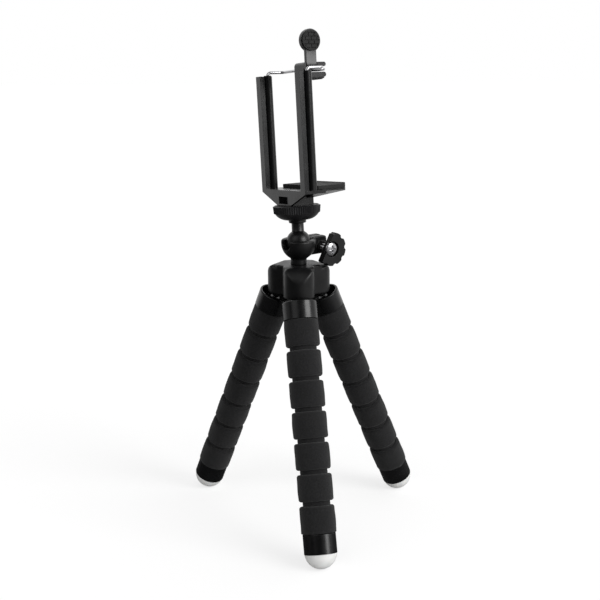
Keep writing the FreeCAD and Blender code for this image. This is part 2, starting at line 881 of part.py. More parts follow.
def make_stem(frame):
    ball = sphere("Ball", "ball_diameter / 2")
    node("head_ball", ball, frame)

    neck = "stem_diameter / 2"
    flare = neck + " + stem_foot_flare"
    collar = "stem_collar_diameter / 2"
    stem = turned(
        "Stem",
        [
            ("0", "ball_diameter / 2 + ball_gap"),
            (neck + " - 0.6", "stem_foot"),
            (flare, "stem_foot"),
            (neck, "stem_foot + 2 * stem_foot_flare"),
            (neck, "stem_collar_base"),
            (collar + " - 0.3", "stem_collar_base"),
            (collar, "stem_collar_base + 0.3"),
            (collar, STEM_TOP),
            ("0", STEM_TOP),
        ],
    )
    bore = cylinder(
        "StudBore", "stud_shank_diameter / 2 + fit_gap", "stem_collar_base", ("0", "0", "stud_root - seat_gap")
    )
    dish = sphere("StemDish", "ball_diameter / 2 + ball_gap")
    node("ball_stem", cut("BallStem", stem, dish, bore), frame)

    shank = "stud_shank_diameter / 2"
    thread = "stud_diameter / 2"
    tip = DISC_TOP + " + stud_reach"
    stud = turned(
        "Stud",
        [
            ("0", "stud_root"),
            (shank, "stud_root"),
            (shank, STEM_TOP + " + 0.4"),
            (thread, STEM_TOP + " + 0.4"),
            (thread, tip + " - 0.7"),
            (thread + " - 0.7", tip),
            ("0", tip),
        ],
    )
    node("tripod_stud", stud, frame)

    foot_edge = "disc_foot_diameter / 2 - disc_rib_depth"
    top_edge = "disc_diameter / 2 - disc_rib_depth"
    crown_low = "%s + disc_knurl_height" % KNURL_LOW
    cone = turned(
        "DiscCone",
        [
            ("0", STEM_TOP + " + seat_gap"),
            (collar, STEM_TOP + " + seat_gap", "disc_bowl_radius", 1),
            (foot_edge, KNURL_LOW),
            (foot_edge, KNURL_LOW + " + 0.2"),
            ("0", KNURL_LOW + " + 0.2"),
        ],
    )
    crown = turned(
        "DiscCrown",
        [
            ("0", crown_low + " - 0.2"),
            (top_edge, crown_low + " - 0.2"),
            (top_edge, crown_low),
            (top_edge + " - disc_crown", DISC_TOP),
            ("0", DISC_TOP),
        ],
    )
    stud_seat = STEM_TOP + " + 0.4 - seat_gap"
    stud_way = cylinder("StudWay", "stud_diameter / 2 + seat_gap", "stud_root + 10", ("0", "0", stud_seat))
    shank_way = cylinder("ShankWay", "stud_shank_diameter / 2 + seat_gap", "1", ("0", "0", STEM_TOP))
    disc = cut("PlatformDisc", fuse("DiscSolid", cone, knurled_rim(), crown), stud_way, shank_way)
    node("platform_disc", disc, frame)
    make_clip(frame)


CLIP_BASE = "(%s + seat_gap)" % DISC_TOP
BRIDGE_LOW = "(%s + boss_rise)" % CLIP_BASE
BRIDGE_TOP = "(%s + bridge_thickness)" % BRIDGE_LOW
BAR_TOP = "(%s + bar_length)" % BRIDGE_TOP
TUBE_BACK = "(-bar_set_back - tube_diameter / 2 + 0.3)"
FLANGE_BACK = "(%s - web_length - flange_thickness)" % TUBE_BACK
WIRE_LEVEL = "(%s + wire_rise)" % BAR_TOP


def clip_bar(sign, name):
    """One upright: a flange, a web and the tube that houses the wire."""
    middle = "%s * bar_spacing / 2" % sign
    flange = box(
        name + "Flange",
        (middle + " - flange_width / 2", FLANGE_BACK, BRIDGE_LOW),
        ("flange_width", "flange_thickness", "bar_length + bridge_thickness"),
    )
    web = box(
        name + "Web",
        (middle + " - web_thickness / 2", FLANGE_BACK + " + flange_thickness / 2", BRIDGE_LOW),
        ("web_thickness", "web_length + flange_thickness / 2 + 0.6", "bar_length + bridge_thickness"),
    )
    tube = cylinder(
        name + "Tube",
        "tube_diameter / 2",
        "bar_length + bridge_thickness",
        (middle, "-bar_set_back", BRIDGE_LOW),
    )
    return [flange, web, tube]


def clip_frame():
    """The moulded U-frame with its nut housing and the fixed lower jaw."""
    parts = clip_bar("-1", "FarBar") + clip_bar("1", "NearBar")
    half_span = "(bar_spacing / 2 + flange_width / 2)"
    parts.append(
        box(
            "Bridge",
            ("-" + half_span, FLANGE_BACK, BRIDGE_LOW),
            ("2 * " + half_span, "-(%s) + boss_depth / 2 - 2" % FLANGE_BACK, "bridge_thickness"),
        )
    )
    wall = padded(
        "TaperWall",
        "XZ_Plane",
        [
            ("-wall_taper_width / 2", CLIP_BASE),
            ("wall_taper_width / 2", CLIP_BASE),
            (half_span, BRIDGE_LOW),
            (half_span, BRIDGE_TOP),
            ("-" + half_span, BRIDGE_TOP),
            ("-" + half_span, BRIDGE_LOW),
        ],
        "flange_thickness",
        middle=False,
        flip=True,
    )
    parts.append(place(wall, ("0", FLANGE_BACK, "0")))
    parts.append(
        box(
            "NutHousing",
            ("-boss_width / 2", FLANGE_BACK, CLIP_BASE),
            ("boss_width", "-(%s) + boss_depth / 2" % FLANGE_BACK, "boss_rise + 0.5"),
        )
    )
    half_jaw = "jaw_width / 2"
    plan = padded(
        "JawPlan",
        "XY_Plane",
        [
            ("-" + half_jaw, "jaw_root"),
            (half_jaw, "jaw_root"),
            (half_jaw, "jaw_reach - jaw_corner", "jaw_corner", 1),
            (half_jaw + " - jaw_corner", "jaw_reach"),
            ("-%s + jaw_corner" % half_jaw, "jaw_reach", "jaw_corner", 1),
            ("-" + half_jaw, "jaw_reach - jaw_corner"),
        ],
        "2 * jaw_thickness",
    )
    place(plan, ("0", "0", BRIDGE_TOP))
    side = padded(
        "JawSide",
        "YZ_Plane",
        [
            ("jaw_root - 1", BRIDGE_TOP + " - jaw_thickness"),
            ("boss_depth / 2", BRIDGE_TOP + " - jaw_thickness"),
            ("jaw_reach", BRIDGE_TOP + " - jaw_tip_thickness"),
            ("jaw_reach", BRIDGE_TOP),
            ("jaw_root - 1", BRIDGE_TOP),
        ],
        "jaw_width + 2",
    )
    front = padded(
        "JawFront",
        "XZ_Plane",
        [
            ("-wall_taper_width / 2", BRIDGE_TOP + " - jaw_thickness"),
            ("wall_taper_width / 2", BRIDGE_TOP + " - jaw_thickness"),
            (half_jaw, BRIDGE_TOP + " - jaw_end_thickness"),
            (half_jaw, BRIDGE_TOP),
            ("-" + half_jaw, BRIDGE_TOP),
            ("-" + half_jaw, BRIDGE_TOP + " - jaw_end_thickness"),
        ],
        "4 * jaw_reach",
    )
    parts.append(common("LowerJaw", plan, side, front))
    tools = []
    for sign, name in (("-1", "Far"), ("1", "Near")):
        tools.append(
            cylinder(
                name + "Bore",
                "tube_bore / 2",
                "bar_length + 1",
                ("%s * bar_spacing / 2" % sign, "-bar_set_back", BRIDGE_TOP),
            )
        )
    nut_low = CLIP_BASE + " + clip_nut_floor"
    pocket_depth = "-(%s) + 0.5 + clip_nut_flats / 2 / cos(30) + seat_gap" % FLANGE_BACK
    tools.append(
        box(
            "NutWindow",
            ("-clip_nut_flats / 2 - seat_gap", FLANGE_BACK + " - 0.5", nut_low),
            ("clip_nut_flats + 2 * seat_gap", pocket_depth, "clip_nut_height + 2 * seat_gap"),
        )
    )
    tools.append(cylinder("StudHole", "stud_diameter / 2 + running_gap", "boss_rise + 1", ("0", "0", CLIP_BASE + " - 0.5")))
    return cut("ClipFrame", fuse("ClipSolid", *parts), *tools)


def quarter(name, radius, centre, start, end):
    """A quarter bend of the wire about a centre, from one direction round to another."""
    thing = doc.addObject("Part::Torus", name)
    bind(thing, "Radius1", "wire_bend")
    bind(thing, "Radius2", radius)
    thing.Angle3 = 90
    begin, finish = FreeCAD.Vector(*start), FreeCAD.Vector(*end)
    turn = FreeCAD.Rotation(begin, finish, begin.cross(finish), "ZXY")
    thing.Placement = FreeCAD.Placement(FreeCAD.Vector(*[value(c) for c in centre]), turn)
    return thing


def wire_half(name, sign, radius, low):
    """Half the bent wire: up one bar, forward, across to the jaw and out along the loop."""
    side = "%d * bar_spacing / 2" % sign
    loop = "%d * wire_loop_width / 2" % sign
    bend = "%d * wire_bend" % sign
    rise = "%s - wire_bend" % WIRE_LEVEL
    across = "bar_spacing / 2 - wire_loop_width / 2 - 2 * wire_bend"
    left = loop + " + " + bend if sign > 0 else "-bar_spacing / 2 + wire_bend"
    return [
        cylinder(name + "Rod", radius, "%s - (%s)" % (rise, low), (side, "-bar_set_back", low)),
        quarter(name + "TopBend", radius, (side, "-bar_set_back + wire_bend", rise), (0, -1, 0), (0, 0, 1)),
        cylinder(
            name + "Forward",
            radius,
            "wire_cross_depth + bar_set_back - 2 * wire_bend",
            (side, "-bar_set_back + wire_bend", WIRE_LEVEL),
            "y",
        ),
        quarter(
            name + "SideBend",
            radius,
            (side + " - " + bend, "wire_cross_depth - wire_bend", WIRE_LEVEL),
            (sign, 0, 0),
            (0, 1, 0),
        ),
        cylinder(name + "Across", radius, across, (left, "wire_cross_depth", WIRE_LEVEL), "x"),
    ] + loop_half(name, sign, radius)


def loop_half(name, sign, radius):
    """The bend inside the upper jaw and the straight run forward from it."""
    loop = "%d * wire_loop_width / 2" % sign
    bend = "%d * wire_bend" % sign
    inner = "wire_cross_depth + wire_bend"
    return [
        quarter(name + "JawBend", radius, (loop + " + " + bend, inner, WIRE_LEVEL), (0, -1, 0), (-sign, 0, 0)),
        cylinder(
            name + "Reach",
            radius,
            "wire_loop_reach - wire_cross_depth - 2 * wire_bend",
            (loop, inner, WIRE_LEVEL),
            "y",
        ),
    ]


def bent_wire():
    """One wire bent to a frame: both rods, the cross run and the loop that carries the upper jaw."""
    radius = "wire_diameter / 2"
    low = BRIDGE_TOP + " + stop_floor"
    pieces = wire_half("NearWire", 1, radius, low) + wire_half("FarWire", -1, radius, low)
    tip = "wire_loop_reach - wire_bend"
    for sign, name in ((1, "Near"), (-1, "Far")):
        centre = ("%d * (wire_loop_width / 2 - wire_bend)" % sign, tip, WIRE_LEVEL)
        pieces.append(quarter(name + "TipBend", radius, centre, (sign, 0, 0), (0, 1, 0)))
    pieces.append(
        cylinder(
            "WireTip",
            radius,
            "wire_loop_width - 2 * wire_bend",
            ("-wire_loop_width / 2 + wire_bend", "wire_loop_reach", WIRE_LEVEL),
            "x",
        )
    )
    return fuse("WireFrame", *pieces)


def wire_channel():
    """The way through the upper jaw for the wire, a little wider than it."""
    radius = "wire_diameter / 2 + fit_gap"
    pieces = []
    for sign, name in ((1, "Near"), (-1, "Far")):
        pieces += loop_half(name + "Way", sign, radius)
        start = "wire_loop_width / 2 + wire_bend" if sign > 0 else "-upper_jaw_width"
        length = "upper_jaw_width - wire_loop_width / 2 - wire_bend"
        at = (start, "wire_cross_depth", WIRE_LEVEL)
        pieces.append(cylinder(name + "WaySide", radius, length, at, "x"))
    return pieces


def pair(name, radius, height, low):
    """The same cylinder in both bars."""
    return [
        cylinder(name + "Far", radius, height, ("-bar_spacing / 2", "-bar_set_back", low)),
        cylinder(name + "Near", radius, height, ("bar_spacing / 2", "-bar_set_back", low)),
    ]


def make_clip(frame):
    node("clip_frame", clip_frame(), frame)

    half_jaw = "jaw_width / 2"
    pad_plan = padded(
        "JawPadPlan",
        "XY_Plane",
        [
            ("-" + half_jaw, "jaw_root"),
            (half_jaw, "jaw_root"),
            (half_jaw, "jaw_reach - jaw_corner", "jaw_corner", 1),
            (half_jaw + " - jaw_corner", "jaw_reach"),
            ("-%s + jaw_corner" % half_jaw, "jaw_reach", "jaw_corner", 1),
            ("-" + half_jaw, "jaw_reach - jaw_corner"),
        ],
        "2 * jaw_pad_thickness",
        middle=False,
    )
    place(pad_plan, ("0", "0", BRIDGE_TOP))
    pad_top = "(%s + jaw_pad_thickness)" % BRIDGE_TOP
    pad_side = padded(
        "JawPadSide",
        "YZ_Plane",
        [
            ("jaw_root - 1", BRIDGE_TOP),
            ("jaw_reach + 1", BRIDGE_TOP),
            ("jaw_reach + 1", pad_top + " + jaw_pad_lip"),
            ("jaw_reach - jaw_pad_lip_depth / 2", pad_top + " + jaw_pad_lip"),
            ("jaw_reach - jaw_pad_lip_depth", pad_top),
            ("jaw_root - 1", pad_top),
        ],
        "jaw_width + 2",
    )
    node("lower_jaw_pad", common("LowerJawPad", pad_plan, pad_side), frame)

    nut_low = CLIP_BASE + " + clip_nut_floor + seat_gap"
    nut = cut(
        "ClipNut",
        prism("ClipNutHex", "clip_nut_flats", "clip_nut_height", ("0", "0", nut_low)),
        cylinder("ClipNutBore", "stud_diameter / 2 + seat_gap", "clip_nut_height", ("0", "0", nut_low)),
    )
    # two of its flats lie along the window's sides, so that it can't turn
    flats_aside = FreeCAD.Placement(FreeCAD.Vector(), FreeCAD.Rotation(FreeCAD.Vector(0, 0, 1), 30))
    node("clip_nut", nut, frame.multiply(flats_aside))

    node("wire_frame", bent_wire(), frame)

    stop_low = BRIDGE_TOP + " + stop_floor"
    stops = [
        cut("Stop" + name, ring, hole)
        for name, ring, hole in zip(
            ("FarRing", "NearRing"),
            pair("Stop", "stop_diameter / 2", "stop_length", stop_low),
            pair("StopHole", "wire_diameter / 2 + fit_gap", "stop_length", stop_low),
        )
    ]
    node("rod_stops", fuse("RodStops", *stops), frame)

    spring_low = stop_low + " + stop_length + fit_gap"
    plug_low = "(%s - plug_length)" % BAR_TOP
    spring_length = "%s - fit_gap - (%s)" % (plug_low, spring_low)
    springs = [
        cut("Spring" + name, ring, hole)
        for name, ring, hole in zip(
            ("FarCoil", "NearCoil"),
            pair("Spring", "spring_diameter / 2", spring_length, spring_low),
            pair("SpringHole", "spring_bore / 2", spring_length, spring_low),
        )
    ]
    node("clip_springs", fuse("ClipSprings", *springs), frame)

    plug_body = pair("Plug", "tube_bore / 2 - fit_gap", "plug_length", plug_low)
    plug_head = pair("PlugHead", "plug_head_diameter / 2", "plug_proud", BAR_TOP)
    plug_hole = pair("PlugHole", "wire_diameter / 2 + seat_gap", "plug_length + plug_proud", plug_low)
    plugs = [
        cut("Plug%s" % name, fuse("PlugSolid" + name, low, high), hole)
        for name, low, high, hole in zip(("FarCap", "NearCap"), plug_body, plug_head, plug_hole)
    ]
    node("bar_plugs", fuse("BarPlugs", *plugs), frame)
    make_upper_jaw(frame)


PRONG_TOP = "(%s + prong_gap / 2 + upper_prong)" % WIRE_LEVEL
PRONG_LOW = "(%s - prong_gap / 2 - lower_prong)" % WIRE_LEVEL
ARM_AXIS = "(%s - arm_barrel_diameter / 2)" % PRONG_TOP


def upper_jaw():
    """A C in side view: its spine holds the wire, its prongs reach forward over the phone's edge."""
    nose = "lower_prong / 2"
    brow = "upper_prong / 2"
    inner = "prong_gap / 2"
    root = "(upper_jaw_root + upper_jaw_spine)"
    return padded(
        "UpperJaw",
        "YZ_Plane",
        [
            ("upper_jaw_root + 1", PRONG_LOW),
            ("upper_jaw_reach - " + nose, PRONG_LOW, nose, 1),
            ("upper_jaw_reach", PRONG_LOW + " + " + nose, nose, 1),
            ("upper_jaw_reach - " + nose, PRONG_LOW + " + lower_prong"),
            (root, PRONG_LOW + " + lower_prong", inner, -1),
            (root + " - " + inner, WIRE_LEVEL, inner, -1),
            (root, PRONG_TOP + " - upper_prong"),
            ("upper_jaw_reach - " + brow, PRONG_TOP + " - upper_prong", brow, 1),
            ("upper_jaw_reach", PRONG_TOP + " - " + brow, brow, 1),
            ("upper_jaw_reach - " + brow, PRONG_TOP),
            ("upper_jaw_root + 2", PRONG_TOP, "2", 1),
            ("upper_jaw_root", PRONG_TOP + " - 2"),
            ("upper_jaw_root", PRONG_LOW + " + 1", "1", 1),
        ],
        "upper_jaw_width",
    )


def make_upper_jaw(frame):
    side = "arm_offset - arm_barrel_diameter / 2 - running_gap"
    notch = box(
        "ArmNotch",
        (side, "arm_place - arm_width / 2 - running_gap", PRONG_TOP + " - upper_prong - 1"),
        ("upper_jaw_width", "arm_width + 2 * running_gap", "upper_prong + 2"),
    )
    pin_low = "arm_place - arm_pin_length / 2"
    pin_way = cylinder(
        "PinWay", "arm_pin_diameter / 2 + fit_gap", "arm_pin_length", ("arm_offset", pin_low, ARM_AXIS), "y"
    )
    node("upper_jaw", cut("UpperJawBody", upper_jaw(), notch, pin_way, *wire_channel()), frame)
    pin = cylinder("ArmPin", "arm_pin_diameter / 2", "arm_pin_length", ("arm_offset", pin_low, ARM_AXIS), "y")
    node("grip_arm_pin", pin, frame.multiply(pin.Placement))

    pad_root = "(upper_jaw_root + 1)"
    pad_tip = "(upper_jaw_reach - lower_prong / 2)"
    pad_low = "(%s - upper_pad_thickness)" % PRONG_LOW
    pad = [
        box(
            "UpperPadStrip",
            ("-upper_jaw_width / 2", pad_root, pad_low),
            ("upper_jaw_width", "%s - %s" % (pad_tip, pad_root), "upper_pad_thickness"),
        )
    ]
    teeth = 4
    for k in range(teeth):
        middle = "%s + (%s - %s) * (2 * %d + 1) / %d" % (pad_root, pad_tip, pad_root, k, 2 * teeth)
        pad.append(
            cylinder(
                "UpperPadTooth%d" % k,
                "upper_pad_tooth",
                "upper_jaw_width",
                ("-upper_jaw_width / 2", middle, pad_low),
                "x",
            )
        )
    node("upper_jaw_pad", fuse("UpperJawPad", *pad), frame)

    arm_back = "arm_place - arm_width / 2"
    barrel = cylinder("ArmBarrel", "arm_barrel_diameter / 2", "arm_width", ("arm_offset", arm_back, ARM_AXIS), "y")
    blade = box(
        "ArmBlade",
        ("arm_offset - arm_thickness / 2", arm_back, ARM_AXIS),
        ("arm_thickness", "arm_width", "arm_rise"),
    )
    disc_at = ("arm_offset - arm_thickness / 2", "arm_place", ARM_AXIS + " + arm_rise")
    disc = cylinder("ArmDisc", "arm_disc_diameter / 2", "arm_thickness", disc_at, "x")
    pin_hole = cylinder(
        "ArmPinHole", "arm_pin_diameter / 2 + fit_gap", "arm_width", ("arm_offset", arm_back, ARM_AXIS), "y"
    )
    arm = cut("GripArm", fuse("ArmSolid", barrel, blade, disc), pin_hole)
    node("grip_arm", arm, frame)
    pad_at = ("arm_offset + arm_thickness / 2", "arm_place", ARM_AXIS + " + arm_rise")
    face = cylinder("GripPad", "grip_pad_diameter / 2", "grip_pad_thickness", pad_at, "x")
    node("grip_pad", face, frame.multiply(face.Placement))


make_hub()
make_head()
for side in LEGS:
    make_leg(side)
doc.recompute()

faults = [thing.Name for thing in doc.Objects if "Invalid" in thing.State or "Error" in thing.State]
if faults:
    raise RuntimeError("these objects failed: %s" % faults)
for name, thing in nodes.items():
    if thing.Shape.isNull() or not thing.Shape.isValid():
        raise RuntimeError("%s has no valid shape" % name)
    if not thing.Shape.Solids:
        raise RuntimeError("%s has no solid" % name)

os.makedirs("parts", exist_ok=True)
for name, thing in nodes.items():
    thing.Shape.exportStep("parts/%s.step" % name)
print("%d nodes" % len(nodes))
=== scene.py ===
import json
import math

import bmesh
import bpy
import numpy as np
from mathutils import Matrix, Vector


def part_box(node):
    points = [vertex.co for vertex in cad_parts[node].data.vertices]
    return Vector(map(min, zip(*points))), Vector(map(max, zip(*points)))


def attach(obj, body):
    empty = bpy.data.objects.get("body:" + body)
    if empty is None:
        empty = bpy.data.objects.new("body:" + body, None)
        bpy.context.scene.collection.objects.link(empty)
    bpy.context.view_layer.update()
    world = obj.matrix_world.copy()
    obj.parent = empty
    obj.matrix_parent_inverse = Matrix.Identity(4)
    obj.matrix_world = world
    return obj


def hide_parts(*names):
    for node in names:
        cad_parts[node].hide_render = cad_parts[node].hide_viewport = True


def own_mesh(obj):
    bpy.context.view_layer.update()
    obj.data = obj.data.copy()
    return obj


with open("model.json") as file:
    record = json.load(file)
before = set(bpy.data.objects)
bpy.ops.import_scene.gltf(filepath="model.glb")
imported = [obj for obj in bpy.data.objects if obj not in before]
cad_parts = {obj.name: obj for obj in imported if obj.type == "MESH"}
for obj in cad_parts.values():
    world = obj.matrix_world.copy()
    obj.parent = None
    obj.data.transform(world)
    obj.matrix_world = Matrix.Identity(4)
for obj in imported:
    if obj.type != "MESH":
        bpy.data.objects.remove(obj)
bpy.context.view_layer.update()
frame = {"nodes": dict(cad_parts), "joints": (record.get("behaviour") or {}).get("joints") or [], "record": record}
MM = 0.001
SIDES = ("front", "left", "right")
# foam beads on a leg, with a bending groove between each two
BEADS = 7
joints = {j["name"]: j for j in frame["joints"]}
slot_of = {s["node"]: s["material_slot"] for s in frame["record"]["subparts"]}
body_of = {node: body for body, nodes in frame["record"]["behaviour"]["bodies"].items() for node in nodes}


# Nodes

# most of a noise texture's values lie between these two
NOISE_LOW, NOISE_HIGH = 0.3, 0.7
# the Mix node's sockets for colours: its two inputs and its output
COLOUR_A, COLOUR_B, COLOUR_OUT = 6, 7, 2
WHITE = (1, 1, 1, 1)


def empty_tree(owner):
    """The node tree of a material or a world, emptied."""
    owner.use_nodes = True
    owner.node_tree.nodes.clear()
    return owner.node_tree


def add_node(tree, kind, settings=(), links=()):
    """Adds one node. Settings fill its sockets or properties, links join other outputs to its sockets."""
    node = tree.nodes.new(kind)
    for key, value in dict(settings).items():
        if isinstance(key, int) or key in node.inputs:
            node.inputs[key].default_value = value
        else:
            setattr(node, key, value)
    for key, source in dict(links).items():
        tree.links.new(source, node.inputs[key])
    return node


def between(tree, value, start, end, least, most, kind="LINEAR"):
    """A number that goes from least to most while value goes from start to end."""
    limits = {"From Min": start, "From Max": end, "To Min": least, "To Max": most}
    settings = {"interpolation_type": kind, **limits}
    return add_node(tree, "ShaderNodeMapRange", settings, {"Value": value}).outputs[0]


def greater(tree, first, second):
    """The greater of two numbers."""
    return add_node(tree, "ShaderNodeMath", {"operation": "MAXIMUM"}, {0: first, 1: second}).outputs[0]


# Finishes


def linear(hex_colour):
    """An sRGB hex colour as linear red, green, blue and alpha."""
    raw = np.array([int(hex_colour[i:i + 2], 16) for i in (1, 3, 5)]) / 255
    low, high = raw / 12.92, ((raw + 0.055) / 1.055) ** 2.4
    return (*np.where(raw <= 0.04045, low, high).tolist(), 1.0)


def finish(name, surface=()):
    """A fresh material with its tree, its surface shader and the object coordinates in metres."""
    material = bpy.data.materials.new(name)
    tree = empty_tree(material)
    shader = add_node(tree, "ShaderNodeBsdfPrincipled", surface)
    add_node(tree, "ShaderNodeOutputMaterial", links={"Surface": shader.outputs[0]})
    place = add_node(tree, "ShaderNodeTexCoord").outputs["Object"]
    return material, tree, shader, place


def grain(tree, place, size_mm, detail=2.0, rough=0.5):
    """Noise whose grains are about size_mm across."""
    settings = {"Scale": 1 / (size_mm * MM), "Detail": detail, "Roughness": rough}
    return add_node(tree, "ShaderNodeTexNoise", settings, {"Vector": place}).outputs["Fac"]


def tint(tree, factor, dark, light, low=NOISE_LOW, high=NOISE_HIGH):
    """A colour that goes from dark to light as factor goes from low to high."""
    ramp = add_node(tree, "ShaderNodeValToRGB", links={"Fac": factor})
    ramp.color_ramp.elements[0].position, ramp.color_ramp.elements[1].position = low, high
    ramp.color_ramp.elements[0].color, ramp.color_ramp.elements[1].color = linear(dark), linear(light)
    return ramp.outputs["Color"]


def spread(tree, noise, low, high):
    """A number that goes from low to high with a noise."""
    return between(tree, noise, NOISE_LOW, NOISE_HIGH, low, high)


def relief(tree, height, depth_mm, strength=1.0, under=None):
    """A bump of depth_mm from a height of 0 to 1, over another bump where one is given."""
    links = {"Height": height}
    if under is not None:
        links["Normal"] = under
    settings = {"Distance": depth_mm * MM, "Strength": strength}
    return add_node(tree, "ShaderNodeBump", settings, links).outputs["Normal"]


def coat(tree, shader, colour, bump, roughness=None):
    """Feeds a colour, a bump and, where it varies, the roughness to a surface shader."""
    for socket, source in (("Base Color", colour), ("Normal", bump), ("Roughness", roughness)):
        if source is not None:
            tree.links.new(source, shader.inputs[socket])


def sponge_foam():
    """Closed-cell sponge sleeve, skived from a tube: dry and charcoal, with fine pores that eat the light."""
    surface = {"Roughness": 0.95, "Specular IOR Level": 0.25, "Sheen Weight": 0.12, "Sheen Roughness": 0.6}
    material, tree, shader, place = finish("sponge_foam", surface)
    # pores of 0.3 mm would not show, so they are drawn 0.6 mm across
    pores = grain(tree, place, 0.6, 3.0, 0.7)
    colour = tint(tree, pores, "#111112", "#232324", 0.36, 0.66)
    blotches = tint(tree, grain(tree, place, 9.0), "#E4E4E4", "#FFFFFF")
    mixing = {"data_type": "RGBA", "blend_type": "MULTIPLY", "Factor": 1.0}
    mixed = add_node(tree, "ShaderNodeMix", mixing, {COLOUR_A: colour, COLOUR_B: blotches})
    lumps = relief(tree, grain(tree, place, 3.5), 0.25, 0.5)
    coat(tree, shader, mixed.outputs[COLOUR_OUT], relief(tree, pores, 0.22, 0.9, lumps))
    return material


def polished_abs():
    """Black ABS from a polished mould: glossy, with the faint waviness that thin walls sink into."""
    material, tree, shader, place = finish("polished_abs")
    smears = grain(tree, place, 7.0, 3.0)
    waves = relief(tree, grain(tree, place, 5.0, 1.0), 0.06, 0.5)
    skin = relief(tree, grain(tree, place, 0.5), 0.01, 0.4, waves)
    coat(tree, shader, tint(tree, smears, "#0A0A0B", "#0F0F10"), skin, spread(tree, smears, 0.2, 0.3))
    return material


def satin_abs():
    """Black ABS from a lightly eroded mould: satin, with a fine even grain that softens its highlights."""
    material, tree, shader, place = finish("satin_abs")
    # the mould's 0.1 mm grain is drawn 0.4 mm across
    erosion = grain(tree, place, 0.4, 2.0)
    wear = grain(tree, place, 6.0, 3.0)
    waves = relief(tree, grain(tree, place, 4.5, 1.0), 0.07, 0.5)
    skin = relief(tree, erosion, 0.03, 0.6, waves)
    coat(tree, shader, tint(tree, wear, "#0B0B0C", "#111112"), skin, spread(tree, wear, 0.34, 0.46))
    return material


def baked_paint():
    """Zinc and steel under black baked paint: smooth, a little orange-peeled."""
    material, tree, shader, place = finish("baked_paint")
    peel = grain(tree, place, 1.2, 1.0)
    skin = relief(tree, peel, 0.03, 0.5)
    coat(tree, shader, tint(tree, peel, "#0B0B0C", "#101011"), skin, spread(tree, peel, 0.30, 0.40))
    return material


def knurl_with_painted_sheen():
    """The platform's knurled rim in black paint, drawn greyer as painted sheen for the light that its ridges
    reflect.
    """
    material, tree, shader, place = finish("knurl_with_painted_sheen")
    # patches of lighter grey: painted sheen standing in for the light that the knurl's ridges reflect
    blotches = grain(tree, place, 2.0, 3.0)
    skin = relief(tree, grain(tree, place, 0.6), 0.03, 0.5)
    coat(tree, shader, tint(tree, blotches, "#18181A", "#242426"), skin, spread(tree, blotches, 0.36, 0.5))
    return material


def nickel_plate():
    """Nickel-plated drawn wire and turned screws: a bright metal with faint drawing marks."""
    material, tree, shader, place = finish("nickel_plate", {"Metallic": 1.0})
    marks = grain(tree, place, 0.8, 3.0)
    skin = relief(tree, marks, 0.015, 0.4)
    coat(tree, shader, tint(tree, marks, "#C4C4C6", "#E2E2E4"), skin, spread(tree, marks, 0.14, 0.26))
    return material


def nitrile_rubber():
    """Moulded black rubber: dull, slightly dusty, with a fine cast texture."""
    material, tree, shader, place = finish("nitrile_rubber")
    dust = grain(tree, place, 2.5, 4.0)
    skin = relief(tree, grain(tree, place, 0.5), 0.05, 0.6)
    coat(tree, shader, tint(tree, dust, "#171717", "#242424"), skin, spread(tree, dust, 0.62, 0.8))
    return material


def milky_tpr():
    """Injection-moulded thermoplastic rubber feet: milky white, letting light a little way in."""
    surface = {"Subsurface Weight": 0.35, "Subsurface Radius": (1.0, 0.95, 0.9), "Subsurface Scale": 2 * MM}
    material, tree, shader, place = finish("milky_tpr", surface)
    cloud = grain(tree, place, 4.0, 2.0)
    skin = relief(tree, grain(tree, place, 0.8), 0.02, 0.5)
    coat(tree, shader, tint(tree, cloud, "#F2F2F0", "#FCFCFA"), skin, spread(tree, cloud, 0.36, 0.5))
    return material


FINISHES = {
    "foam": sponge_foam(),
    "collar": polished_abs(),
    "hub": satin_abs(),
    "clip": polished_abs(),
    "black_metal": baked_paint(),
    "bright_metal": nickel_plate(),
    "pad": nitrile_rubber(),
    "foot": milky_tpr(),
    "core": nitrile_rubber(),
}


# Making pieces

# points nearer than this many metres are one point, in meshes made here and in copies of the CAD meshes
OWN_MERGE, CAD_MERGE = 1e-7, 1e-6
# edges sharper than this many degrees stay crisp, in the same two
OWN_CRISP, CAD_CRISP = 40, 32


def axes_at(origin, z_axis, x_hint):
    """A matrix with its origin in metres, Z along z_axis and X as near x_hint as it can be."""
    z = Vector(z_axis).normalized()
    x = Vector(x_hint)
    x = (x - z * x.dot(z)).normalized()
    y = z.cross(x)
    turn = Matrix((x, y, z)).transposed().to_4x4()
    return Matrix.Translation(Vector(origin)) @ turn


def merge_points(work, nearer):
    """Makes points nearer than that many metres one, and takes out what comes to nothing."""
    bmesh.ops.remove_doubles(work, verts=work.verts, dist=nearer)
    bmesh.ops.dissolve_degenerate(work, edges=work.edges, dist=nearer / 10)


def smooth_but_sharp(work, degrees):
    """Smooth faces, with the edges sharper than that many degrees kept crisp."""
    limit = math.radians(degrees)
    for face in work.faces:
        face.smooth = True
    for edge in work.edges:
        edge.smooth = len(edge.link_faces) == 2 and edge.calc_face_angle(0) < limit


def closed_piece(name, points, faces, matrix, slot):
    """A piece from points in millimetres in a local frame: placed by the matrix, with doubles merged and
    normals outward."""
    turn = np.array(matrix)
    placed = points * MM @ turn[:3, :3].T + turn[:3, 3]
    mesh = bpy.data.meshes.new(name)
    mesh.from_pydata(placed.tolist(), [], faces)
    work = bmesh.new()
    work.from_mesh(mesh)
    merge_points(work, OWN_MERGE)
    bmesh.ops.recalc_face_normals(work, faces=work.faces)
    smooth_but_sharp(work, OWN_CRISP)
    work.to_mesh(mesh)
    work.free()
    return show(name, mesh, slot)


def show(name, mesh, slot, own_finish=None):
    """Links a mesh as an object at the origin, with its slot and that slot's finish or one of its own."""
    thing = bpy.data.objects.new(name, mesh)
    bpy.context.scene.collection.objects.link(thing)
    mesh.materials.clear()
    mesh.materials.append(own_finish or FINISHES[slot])
    return thing


